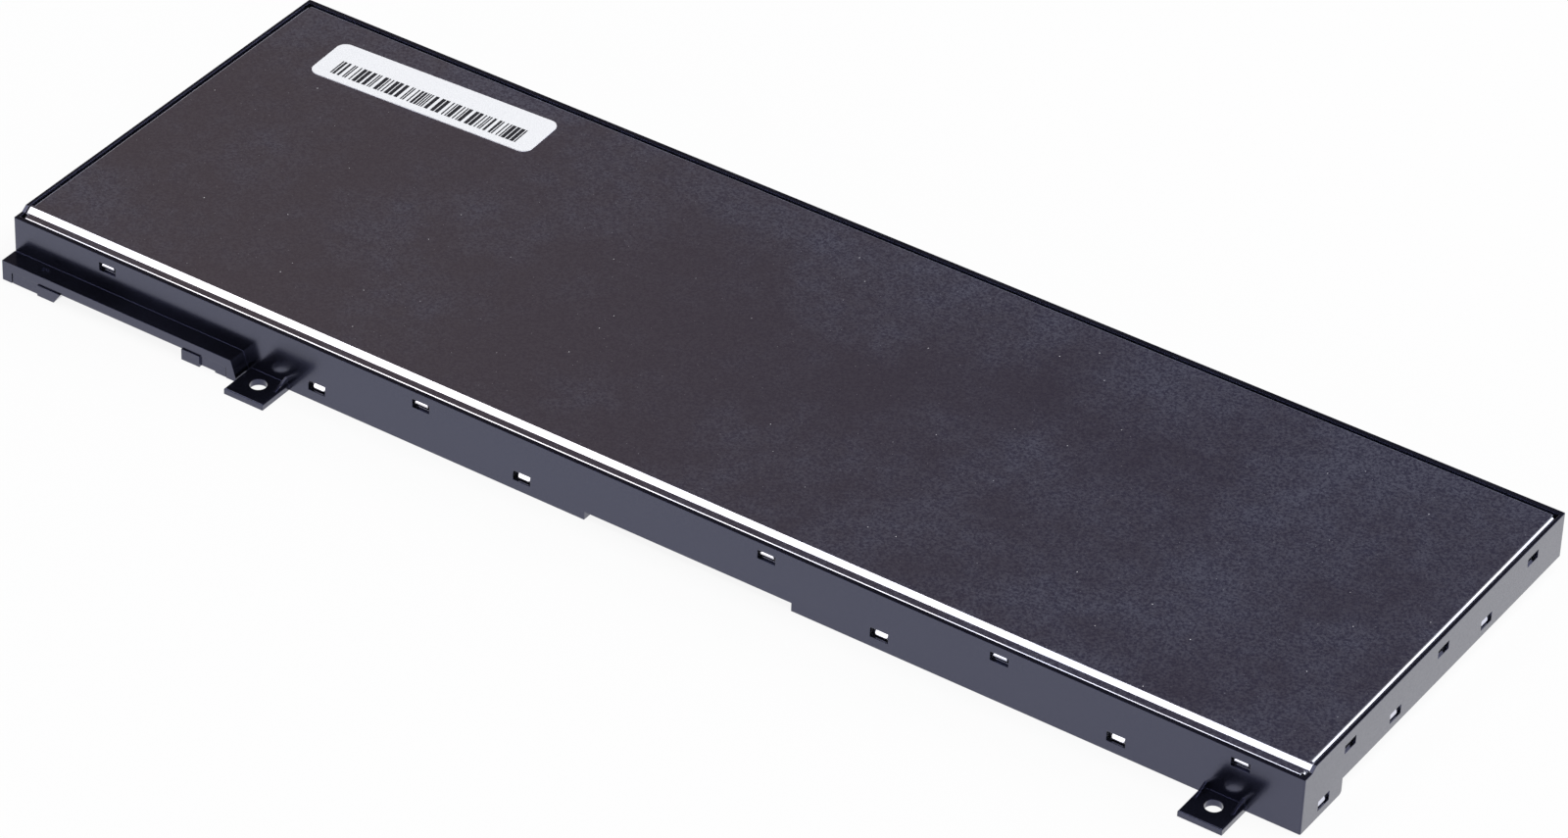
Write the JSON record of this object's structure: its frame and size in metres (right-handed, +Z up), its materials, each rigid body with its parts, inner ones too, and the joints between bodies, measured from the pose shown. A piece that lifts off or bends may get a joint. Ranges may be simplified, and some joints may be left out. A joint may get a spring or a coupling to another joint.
{
  "type": "laptop battery",
  "caption": "Flat rectangular laptop battery pack: black moulded frame, clip-on steel covers, screw tabs, a ledge with a connector under it and pouch cells inside.",
  "frame": {"origin": "middle of the pack's box, tabs included, on the surface it lies on", "axes": "+X along the length, ledge and connector at the -X end; +Y from the front wall with its tabs to the back wall; +Z up, out of the plain steel face"},
  "size_m": [0.268, 0.0952, 0.0122],
  "materials": {
    "frame_plastic": "semi-gloss black moulding with a fine grain",
    "cover_steel": "dark satin stainless sheet",
    "connector_plastic": "black moulded connector body",
    "contact_metal": "plated copper alloy",
    "label_white": "white film sticker with printed bars",
    "label_dark": "matte dark film",
    "cell_foil": "laminated pouch foil",
    "terminal_aluminium": "plain aluminium strip",
    "terminal_nickel": "nickel strip",
    "board_laminate": "green solder mask",
    "chip_black": "moulded chip body",
    "chip_ceramic": "ceramic with plated ends",
    "adhesive_film": "double-sided tape",
    "foam_black": "soft foam",
    "insulating_film": "amber insulating film"
  },
  "bodies": {
    "root": {"frame": "frame_plastic", "top_cover": "cover_steel", "bottom_cover": "cover_steel", "connector_housing": "connector_plastic", "connector_contacts": "contact_metal", "code_label": "label_white", "rating_label": "label_dark", "cell_1": "cell_foil", "cell_2": "cell_foil", "cell_3": "cell_foil", "cell_4": "cell_foil", "cell_5": "cell_foil", "cell_6": "cell_foil", "positive_terminals": "terminal_aluminium", "negative_terminals": "terminal_nickel", "weld_plates": "terminal_nickel", "protection_board": "board_laminate", "gauge_chip": "chip_black", "switch_transistors": "chip_black", "safety_fuse": "chip_ceramic", "sense_resistor": "chip_black", "chip_capacitors": "chip_ceramic", "thermistor": "chip_black", "cell_adhesive": "adhesive_film", "cell_foam": "foam_black", "upper_film": "insulating_film", "lower_film": "insulating_film"}
  },
  "joints": []
}
